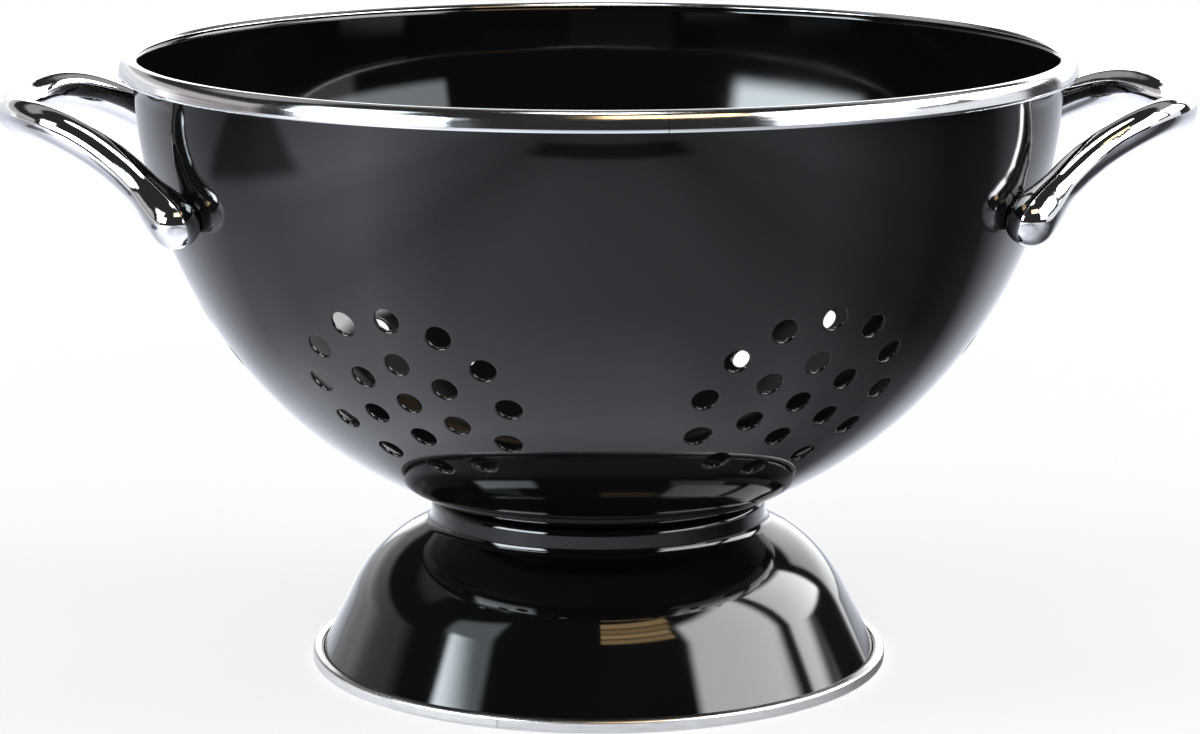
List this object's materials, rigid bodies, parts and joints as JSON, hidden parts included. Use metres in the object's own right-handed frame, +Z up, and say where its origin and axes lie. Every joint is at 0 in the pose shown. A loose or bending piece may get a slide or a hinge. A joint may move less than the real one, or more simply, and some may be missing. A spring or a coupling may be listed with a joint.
{
  "type": "footed colander",
  "caption": "Footed colander: round enamelled steel bowl with clusters of drain holes, a flared foot, steel trim bands and a cast bow handle on each side.",
  "frame": {"origin": "centre of the foot's bottom band, on the table", "axes": "+Z up along the bowl's axis, +X along the line of the two handles, -Y is the front"},
  "size_m": [0.3008, 0.24, 0.1568],
  "materials": {
    "black_enamel": "gloss vitreous enamel",
    "polished_band": "polished stainless strip",
    "brushed_band": "brushed stainless strip",
    "chrome_casting": "bright chrome on a casting",
    "screw_steel": "bright plated steel",
    "washer_steel": "plain stainless"
  },
  "bodies": {
    "root": {"bowl": "black_enamel", "foot": "black_enamel", "rim_band": "polished_band", "foot_band": "brushed_band", "handle_right": "chrome_casting", "handle_left": "chrome_casting", "screw_right_front": "screw_steel", "screw_right_rear": "screw_steel", "screw_left_front": "screw_steel", "screw_left_rear": "screw_steel", "washer_right_front": "washer_steel", "washer_right_rear": "washer_steel", "washer_left_front": "washer_steel", "washer_left_rear": "washer_steel"}
  },
  "joints": []
}
